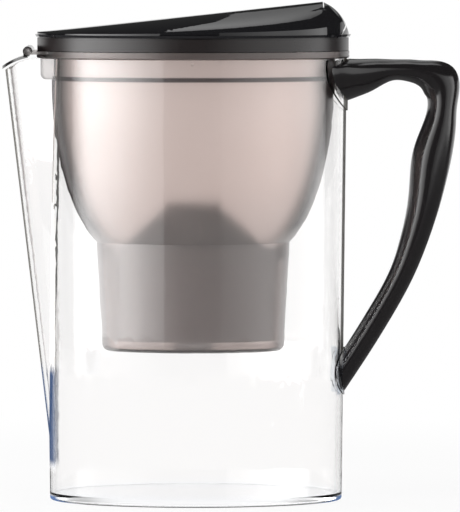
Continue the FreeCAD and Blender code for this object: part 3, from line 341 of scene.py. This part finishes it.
# opaque moulded plastics and rubber share one recipe with their own values
plasticRecipe = {
    "ior": 1.5, "waveShare": 0.35, "wipeScale": 90.0, "wipeStretch": 9.0, "dulling": 0.12,
    "bumpDepth": 0.0002}
plasticLooks = {
    "handleGloss": {"dark": (0.009, 0.008, 0.0085, 1), "worn": (0.022, 0.02, 0.021, 1), "rough": 0.16,
                    "spread": 0.04, "grain": 420.0, "wave": 28.0, "bump": 0.04, "wipes": 0.35},
    "coverGloss": {"dark": (0.008, 0.0078, 0.0088, 1), "worn": (0.02, 0.02, 0.022, 1), "rough": 0.03,
                   "spread": 0.02, "grain": 420.0, "wave": 22.0, "bump": 0.03, "wipes": 0.3},
    "flapGloss": {"dark": (0.01, 0.0095, 0.0095, 1), "worn": (0.03, 0.028, 0.027, 1), "rough": 0.12,
                  "spread": 0.06, "grain": 600.0, "wave": 45.0, "bump": 0.04, "wipes": 0.4},
    "skirtSatin": {"dark": (0.009, 0.0065, 0.0065, 1), "worn": (0.024, 0.019, 0.018, 1), "rough": 0.3,
                   "spread": 0.1, "grain": 2200.0, "wave": 60.0, "bump": 0.12, "wipes": 0.3},
    "cartridgeMatt": {"dark": (0.05, 0.042, 0.047, 1), "worn": (0.07, 0.06, 0.066, 1), "rough": 0.48,
                      "spread": 0.12, "grain": 1900.0, "wave": 70.0, "bump": 0.25, "wipes": 0.2},
    "capMatt": {"dark": (0.04, 0.034, 0.036, 1), "worn": (0.06, 0.051, 0.054, 1), "rough": 0.5,
                "spread": 0.12, "grain": 1900.0, "wave": 70.0, "bump": 0.25, "wipes": 0.2},
    "sealRubber": {"dark": (0.06, 0.06, 0.062, 1), "worn": (0.1, 0.1, 0.1, 1), "rough": 0.62,
                   "spread": 0.15, "grain": 2600.0, "wave": 120.0, "bump": 0.3, "wipes": 0.15}}


def makePlastic(name):
    look, recipe = plasticLooks[name], plasticRecipe
    material, tree = newMaterial(name)
    skin = useGroup(tree, mouldSkin, (-3, 3), {
        "Grain": look["grain"], "Wave": look["wave"], "WaveShare": recipe["waveShare"],
        "Rough": look["rough"], "Spread": look["spread"]})
    wipes = useGroup(tree, wipeMarks, (-3, 1), {
        "Scale": recipe["wipeScale"], "Stretch": recipe["wipeStretch"], "Amount": look["wipes"]})
    mask, rough = wipes.outputs["Mask"], skin.outputs["Roughness"]
    shader = setInputs(place(tree, "ShaderNodeBsdfPrincipled", (3, 0)), {"IOR": recipe["ior"]})
    dress(tree, shader, {
        "Base Color": mixColours(tree, (0, 0), mask, look["dark"], look["worn"]),
        "Roughness": scaleAndAdd(tree, (0, 2), mask, recipe["dulling"], rough, use_clamp=True),
        "Normal": bumpFrom(tree, skin.outputs["Height"], look["bump"], recipe["bumpDepth"])})
    finishSolid(tree, shader)
    return material


# steels with fine drawn lines
steelRecipe = {
    "drawn": {"Scale": 400.0, "Stretch": 0.08, "Amount": 0.8}, "skin": {"Wave": 200.0, "Spread": 0.12},
    "bump": (0.1, 0.00005)}
steelLooks = {
    "pinSteel": {"bright": (0.62, 0.62, 0.63, 1), "dull": (0.45, 0.45, 0.46, 1), "rough": 0.22},
    "springSteel": {"bright": (0.58, 0.57, 0.56, 1), "dull": (0.4, 0.39, 0.38, 1), "rough": 0.3}}


def makeSteel(name):
    look, recipe = steelLooks[name], steelRecipe
    material, tree = newMaterial(name)
    mask = useGroup(tree, wipeMarks, (-3, 1), recipe["drawn"]).outputs["Mask"]
    skin = useGroup(tree, mouldSkin, (-3, 3), {**recipe["skin"], "Rough": look["rough"]})
    shader = setInputs(place(tree, "ShaderNodeBsdfPrincipled", (3, 0)), {"Metallic": 1.0})
    dress(tree, shader, {
        "Base Color": mixColours(tree, (0, 0), mask, look["bright"], look["dull"]),
        "Roughness": skin.outputs["Roughness"], "Normal": bumpFrom(tree, mask, *recipe["bump"])})
    finishSolid(tree, shader)
    return material


# granulate: round beads of resin among black carbon
granulateLook = {
    "beads": {"Scale": 620.0, "Randomness": 1.0}, "carbonRange": (0.4, 0.44), "dome": 0.75,
    "carbon": (0.012, 0.011, 0.01, 1), "resin": (0.42, 0.27, 0.12, 1), "rough": 0.55, "bump": (0.9, 0.0008)}


def makeGranulate():
    look = granulateLook
    material, tree = newMaterial("granulate")
    coords = place(tree, "ShaderNodeTexCoord", (-5, 0))
    beads = setInputs(place(tree, "ShaderNodeTexVoronoi", (-3, 0)), look["beads"])
    tree.links.new(coords.outputs["Object"], beads.inputs["Vector"])
    pick = place(tree, "ShaderNodeSeparateColor", (-2, 1))
    tree.links.new(beads.outputs["Color"], pick.inputs[0])
    carbon = spread(tree, (-1, 1), pick.outputs[0], *look["carbonRange"])
    rounded = spread(tree, (-1, 3), beads.outputs["Distance"], 0.0, look["dome"], 1.0, 0.0)
    shader = setInputs(place(tree, "ShaderNodeBsdfPrincipled", (3, 0)), {"Roughness": look["rough"]})
    dress(tree, shader, {
        "Base Color": mixColours(tree, (0, 0), carbon, look["resin"], look["carbon"]),
        "Normal": bumpFrom(tree, rounded, *look["bump"])})
    finishSolid(tree, shader)
    return material


# fleece: a felt of fine fibres
fleeceLook = {
    "pale": (0.86, 0.86, 0.83, 1), "shade": (0.66, 0.66, 0.63, 1), "paleRange": (0.42, 0.62),
    "fibres": {"Scale": 900.0, "Detail": 5.0, "Roughness": 0.7, "Distortion": 2.4},
    "shader": {"Roughness": 0.9, "Sheen Weight": 0.3}, "bump": (0.7, 0.0004)}


def makeFleece():
    look = fleeceLook
    material, tree = newMaterial("fleece")
    coords = place(tree, "ShaderNodeTexCoord", (-5, 0))
    fibres = setInputs(place(tree, "ShaderNodeTexNoise", (-3, 0)), look["fibres"])
    tree.links.new(coords.outputs["Object"], fibres.inputs["Vector"])
    # painted shade: fibres that sit low in the bump get the darker colour
    raised = spread(tree, (-1, 0), fibres.outputs["Fac"], *look["paleRange"])
    shader = setInputs(place(tree, "ShaderNodeBsdfPrincipled", (3, 0)), look["shader"])
    dress(tree, shader, {
        "Base Color": mixColours(tree, (0, 0), raised, look["shade"], look["pale"]),
        "Normal": bumpFrom(tree, raised, *look["bump"])})
    finishSolid(tree, shader)
    return material


finishes = {
    "jug": makeClearPlastic(), "funnel": makeSmokyPlastic(), "handle": makePlastic("handleGloss"),
    "lid_cover": makePlastic("coverGloss"), "spout_flap": makePlastic("flapGloss"),
    "lid_ring": makePlastic("skirtSatin"), "cartridge_cup": makePlastic("cartridgeMatt"),
    "cartridge_cap": makePlastic("capMatt"), "cartridge_seal": makePlastic("sealRubber"),
    "fill_flap_pin": makeSteel("pinSteel"), "fill_flap_spring": makeSteel("springSteel"),
    "filter_media": makeGranulate(), "inlet_fleece": makeFleece()}
finishes["fill_flap"] = finishes["lid_cover"]
finishes["outlet_fleece"] = finishes["inlet_fleece"]
for nodeName, piece in nodes.items():
    piece.data.materials.clear()
    piece.data.materials.append(finishes[nodeName])
print("finishes on", len(finishes), "nodes")


def meshFrom(shape, name):
    mesh = bpy.data.meshes.new(name)
    shape.to_mesh(mesh)
    shape.free()
    return mesh


# level marks: raised ticks and litre figures on the front wall near the handle
markLook = {
    # the grazing-edge colour here is painted shade
    "body": (0.99, 0.988, 0.986, 1), "rim": (0.97, 0.97, 0.97, 1), "rimRange": (0.6, 1.0),
    "skin": {"Grain": 3000.0, "Wave": 200.0, "WaveShare": 0.2, "Rough": 0.03, "Spread": 0.02},
    "shader": {"IOR": 1.1, "Transmission Weight": 1.0}, "bump": (0.05, 0.0001)}
levelMarks = {
    "baseLength": 0.1534, "baseWidth": 0.11, "rimLength": 0.1586, "rimWidth": 0.114, "wallHeight": 0.232,
    "centreX": 0.0626, "raised": 0.0001, "tickWidth": 0.0085, "tickHeight": 0.0006, "tickCuts": 10,
    "figureSize": 0.00644, "figureGap": 0.0014, "figureSteps": 4,
    "litres": {"0.25": 0.0245, "0.5": 0.045, "0.75": 0.0655, "1.0": 0.086, "1.25": 0.115, "1.5": 0.145}}


def makeMarkFrost():
    look = markLook
    material, tree = newMaterial("levelMarkFrost")
    # painted shade: the marks grey a little where seen at a grazing angle
    edge = spread(tree, (-3, 2), seenAlong(tree), *look["rimRange"])
    skin = useGroup(tree, mouldSkin, (-2, 3), look["skin"])
    shader = setInputs(place(tree, "ShaderNodeBsdfPrincipled", (3, 0)), look["shader"])
    dress(tree, shader, {
        "Base Color": mixColours(tree, (0, 0), edge, look["body"], look["rim"]),
        "Roughness": skin.outputs["Roughness"],
        "Normal": bumpFrom(tree, skin.outputs["Height"], *look["bump"])})
    finishGlass(tree, shader, clearLook["lampTint"])
    return material


def wrapOnWall(mesh, level):
    # flat X runs along the wall, flat Y goes up it and flat Z out of it
    marks = levelMarks
    for vertex in mesh.vertices:
        along, up, out = vertex.co
        share = (level + up) / marks["wallHeight"]
        length = (marks["baseLength"] + (marks["rimLength"] - marks["baseLength"]) * share) / 2
        width = (marks["baseWidth"] + (marks["rimWidth"] - marks["baseWidth"]) * share) / 2
        start = math.acos(marks["centreX"] / length)
        pace = math.hypot(length * math.sin(start), width * math.cos(start))
        turn = start - along / pace
        outward = Vector((math.cos(turn) / length, -math.sin(turn) / width, 0)).normalized()
        spot = Vector((length * math.cos(turn), -width * math.sin(turn), level + up))
        vertex.co = spot + outward * out


def makeFigure(words, level):
    marks = levelMarks
    curve = bpy.data.curves.new("figure", "FONT")
    curve.body = words
    curve.size = marks["figureSize"]
    curve.align_x = "CENTER"
    curve.extrude = marks["raised"] / 2
    curve.resolution_u = marks["figureSteps"]
    holder = bpy.data.objects.new("figure", curve)
    mesh = bpy.data.meshes.new_from_object(holder)
    mesh.transform(Matrix.Translation((0, marks["figureGap"], marks["raised"] / 2)))
    wrapOnWall(mesh, level)
    bpy.data.objects.remove(holder)
    bpy.data.curves.remove(curve)
    return mesh


def makeTick(level):
    marks = levelMarks
    shape = bmesh.new()
    bmesh.ops.create_cube(shape, size=1.0)
    bmesh.ops.scale(shape, vec=(marks["tickWidth"], marks["tickHeight"], marks["raised"]), verts=shape.verts)
    lengthwise = [edge for edge in shape.edges if abs(edge.verts[0].co.x - edge.verts[1].co.x) > 1e-6]
    bmesh.ops.subdivide_edges(shape, edges=lengthwise, cuts=marks["tickCuts"], use_grid_fill=True)
    bmesh.ops.translate(shape, vec=(0, 0, marks["raised"] / 2), verts=shape.verts)
    mesh = meshFrom(shape, "tick")
    wrapOnWall(mesh, level)
    return mesh


def makeLevelMarks():
    whole = bmesh.new()
    for words, level in levelMarks["litres"].items():
        for mesh in (makeFigure(words, level), makeTick(level)):
            whole.from_mesh(mesh)
            bpy.data.meshes.remove(mesh)
    mesh = meshFrom(whole, "levelMarks")
    mesh.materials.append(makeMarkFrost())
    piece = bpy.data.objects.new("level_marks", mesh)
    scene.collection.objects.link(piece)
    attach(piece, "jug")


makeLevelMarks()
print("level marks on the wall")

# studio: a white backdrop that the camera and glass see, a dark room for gloss, a soft floor and lamps
studio = {
    "ambient": 0.3, "glossDark": 0.03, "rear": (0.5, 0.75), "wallTop": (0.05, 0.11), "glassDim": 0.6,
    "straight": (0.85, 0.97)}


def turnedBack(tree, path, spot):
    # 1 for rays that a glossy surface has mirrored on their way
    return combine(tree, spot, "GREATER_THAN", path.outputs["Glossy Depth"], 0.5)


def makeWorld():
    look = studio
    world = bpy.data.worlds.new("studio")
    scene.world = world
    world.use_nodes = True
    tree = world.node_tree
    tree.nodes.clear()
    path = place(tree, "ShaderNodeLightPath", (-5, 0))
    passing = path.outputs["Is Transmission Ray"]
    axes = readAxes(tree, (-5, 3), "Generated")
    # gloss mirrors a low white wall behind the object
    wall = combine(tree, (-2, 3), "MULTIPLY", spread(tree, (-3, 3), axes["Y"], *look["rear"]),
                   spread(tree, (-3, 5), axes["Z"], *look["wallTop"], 1.0, 0.0))
    behind = spread(tree, (-1, 4), wall, 0.0, 1.0, look["glossDark"], 1.0)
    # a mirrored ray that has passed glass is dimmed, unless it goes nearly straight back
    straight = spread(tree, (-3, 7), axes["Y"], *look["straight"], look["glassDim"], 1.0)
    behind = combine(tree, (0, 5), "MAXIMUM", behind, combine(tree, (-1, 6), "MULTIPLY", passing, straight))
    through = combine(tree, (-3, 0), "MAXIMUM", path.outputs["Is Camera Ray"], passing)
    seen = combine(tree, (-2, 0), "MAXIMUM", through, path.outputs["Is Glossy Ray"])
    unscattered = combine(tree, (-1, 0), "SUBTRACT", seen, path.outputs["Diffuse Depth"])
    sharp = mixLevels(tree, (0, 3), turnedBack(tree, path, (-2, 1)), 1.0, behind)
    light = setInputs(place(tree, "ShaderNodeBackground", (2, 0)), {"Color": (1, 1, 1, 1)})
    tree.links.new(mixLevels(tree, (1, 1), unscattered, look["ambient"], sharp), light.inputs["Strength"])
    tree.links.new(light.outputs[0], place(tree, "ShaderNodeOutputWorld", (4, 0)).inputs["Surface"])


floorLook = {
    "radius": 1.1, "segments": 96, "drop": 0.0002, "shadowShare": 0.18, "fade": (0.22, 0.6),
    "colour": (0.9, 0.9, 0.9, 1), "mirrored": (0.15, 0.15, 0.15, 1)}


def makeFloor():
    look = floorLook
    shape = bmesh.new()
    bmesh.ops.create_circle(shape, cap_ends=True, segments=look["segments"], radius=look["radius"])
    mesh = meshFrom(shape, "floor")
    floor = bpy.data.objects.new("floor", mesh)
    floor.location.z = -look["drop"]
    floor.visible_shadow = False
    scene.collection.objects.link(floor)
    material, tree = newMaterial("paleFloor")
    coords = place(tree, "ShaderNodeTexCoord", (-5, 2))
    reach = place(tree, "ShaderNodeVectorMath", (-4, 2), operation="LENGTH")
    tree.links.new(coords.outputs["Object"], reach.inputs[0])
    keep = spread(tree, (-3, 2), reach.outputs["Value"], *look["fade"], look["shadowShare"], 0.0)
    path = place(tree, "ShaderNodeLightPath", (-5, 0))
    byCamera = path.outputs["Is Camera Ray"]
    shade = mixColours(tree, (-1, 2), turnedBack(tree, path, (-4, 0)), look["colour"], look["mirrored"])
    matt = place(tree, "ShaderNodeBsdfDiffuse", (0, 2))
    tree.links.new(shade, matt.inputs["Color"])
    # the camera sees white with a share of the shadow, glass sees white, and gloss sees the matt floor
    white = place(tree, "ShaderNodeEmission", (0, 0))
    soft = mixShaders(tree, (2, 0), combine(tree, (1, 1), "MULTIPLY", keep, byCamera), white, matt)
    seen = combine(tree, (-3, 0), "MAXIMUM", byCamera, path.outputs["Is Transmission Ray"])
    finishSolid(tree, mixShaders(tree, (4, 0), seen, matt, soft))
    mesh.materials.append(material)


# each softbox: its bearing from the camera's side, distance, size, and light along its own X
softboxes = {
    "keyLeft": {"bearing": -54, "distance": 1.1, "width": 1.6, "low": -0.35, "tall": 1.1,
                "glow": ((0.0, 1.5), (0.72, 6.4), (1.0, 2.0))},
    "fillRight": {"bearing": 57, "distance": 1.4, "width": 2.6, "low": -0.35, "tall": 1.35,
                  "glow": ((0.0, 2.2), (0.13, 2.8), (0.5, 1.6), (1.0, 0.6))}}


def makeLampSkin(name, glow, width):
    material, tree = newMaterial(name)
    across = setInputs(place(tree, "ShaderNodeMapRange", (-3, 0)), {
        "From Min": -width / 2, "From Max": width / 2})
    tree.links.new(readAxes(tree, (-5, 0))["X"], across.inputs["Value"])
    ramp = place(tree, "ShaderNodeValToRGB", (-2, 0))
    ramp.color_ramp.interpolation = "EASE"
    stops = ramp.color_ramp.elements
    stops.remove(stops[1])
    peak = max(level for share, level in glow)
    for index, (share, level) in enumerate(glow):
        stop = stops.new(share) if index else stops[0]
        stop.color = (level / peak, level / peak, level / peak, 1)
    tree.links.new(across.outputs["Result"], ramp.inputs["Fac"])
    lamp = setInputs(place(tree, "ShaderNodeEmission", (0, 0)), {"Strength": peak})
    tree.links.new(ramp.outputs["Color"], lamp.inputs["Color"])
    # through glass the lamp shows only in mirrored rays, as lamp light on matt things passes the glass itself
    path = place(tree, "ShaderNodeLightPath", (-5, 3))
    direct = combine(tree, (-3, 3), "SUBTRACT", 1.0, turnedBack(tree, path, (-4, 3)))
    unseen = combine(tree, (-2, 3), "MAXIMUM", direct, path.outputs["Diffuse Depth"])
    unseen = combine(tree, (-1, 3), "MULTIPLY", unseen, path.outputs["Is Transmission Ray"])
    clear = place(tree, "ShaderNodeBsdfTransparent", (0, 2))
    finishSolid(tree, mixShaders(tree, (2, 0), unseen, lamp, clear))
    return material


def hideFromView(panel):
    panel.visible_camera = False
    panel.visible_shadow = False
    scene.collection.objects.link(panel)


def makeSoftbox(name):
    box = softboxes[name]
    shape = bmesh.new()
    bmesh.ops.create_grid(shape, x_segments=1, y_segments=1, size=0.5)
    bmesh.ops.scale(shape, vec=(box["width"], box["tall"], 1), verts=shape.verts)
    mesh = meshFrom(shape, name)
    mesh.materials.append(makeLampSkin(name, box["glow"], box["width"]))
    panel = bpy.data.objects.new(name, mesh)
    turn = math.radians(box["bearing"])
    away = Vector((math.sin(turn), -math.cos(turn), 0))
    panel.location = away * box["distance"] + Vector((0, 0, box["low"] + box["tall"] / 2))
    panel.rotation_euler = (-away).to_track_quat("Z", "Y").to_euler()
    hideFromView(panel)


# overhead disc that lights the floor and what faces up, and that gloss doesn't show
overhead = {"height": 1.6, "size": 1.8, "power": 13.0}


def makeOverhead():
    look = overhead
    lamp = bpy.data.lights.new("overhead", "AREA")
    lamp.shape = "DISK"
    lamp.size = look["size"]
    lamp.energy = look["power"]
    holder = bpy.data.objects.new("overhead", lamp)
    holder.location.z = look["height"]
    holder.visible_camera = False
    holder.visible_glossy = False
    holder.visible_transmission = False
    scene.collection.objects.link(holder)


# cards that only gloss shows: the window on the cover, and a strip along the handle's arm
cards = {
    "coverWindow": {
        "plane": 1.2, "outline": ((-0.002, 0.5), (0.047, 0.64), (0.192, 1.259), (0.739, 2.011), (1.01, 2.537),
                                  (-0.26, 2.537), (-0.114, 1.401), (-0.024, 0.854), (-0.008, 0.545)),
        "heights": (0.3, 1.9), "levels": (0.4, 1.4), "lean": -0.5, "fade": (-0.75, -0.25), "faded": 0.5},
    "armStrip": {
        "plane": 0.28, "outline": ((0.085, 0.3), (0.16, 0.3), (0.16, 0.45), (0.085, 0.45)),
        "heights": (0.3, 0.45), "levels": (0.45, 0.45), "lean": 0.0, "fade": (0.14, 0.17), "faded": 0.5}}


def makeCard(name):
    look = cards[name]
    shape = bmesh.new()
    shape.faces.new([shape.verts.new((x, look["plane"], z)) for x, z in look["outline"]])
    mesh = meshFrom(shape, name)
    material, tree = newMaterial(name)
    axes = readAxes(tree, (-5, 0))
    rising = spread(tree, (-2, 0), axes["Z"], *look["heights"], *look["levels"])
    slant = scaleAndAdd(tree, (-3, 2), axes["Z"], look["lean"], axes["X"])
    fading = spread(tree, (-2, 2), slant, *look["fade"], 1.0, look["faded"])
    glow = place(tree, "ShaderNodeEmission", (0, 0))
    tree.links.new(scaleAndAdd(tree, (-1, 0), rising, fading, 0.0), glow.inputs["Strength"])
    finishSolid(tree, glow)
    mesh.materials.append(material)
    card = bpy.data.objects.new(name, mesh)
    card.visible_diffuse = False
    card.visible_transmission = False
    hideFromView(card)


makeWorld()
makeFloor()
for boxName in softboxes:
    makeSoftbox(boxName)
makeOverhead()
for cardName in cards:
    makeCard(cardName)
print("studio lit by", len(softboxes), "softboxes, an overhead disc and", len(cards), "cards")

# camera: a long lens a little above the table, square to the side of the jug
view = {"eye": (0.018, -3.56, 0.313), "aim": (0.018, 0.0, 0.128), "lens": 477.0, "sensor": 36.0, "far": 50.0}
camera = bpy.data.objects.new("camera", bpy.data.cameras.new("camera"))
camera.data.lens = view["lens"]
camera.data.sensor_width = view["sensor"]
camera.data.clip_end = view["far"]
camera.location = view["eye"]
camera.rotation_euler = (Vector(view["aim"]) - camera.location).to_track_quat("-Z", "Y").to_euler()
scene.collection.objects.link(camera)
scene.camera = camera
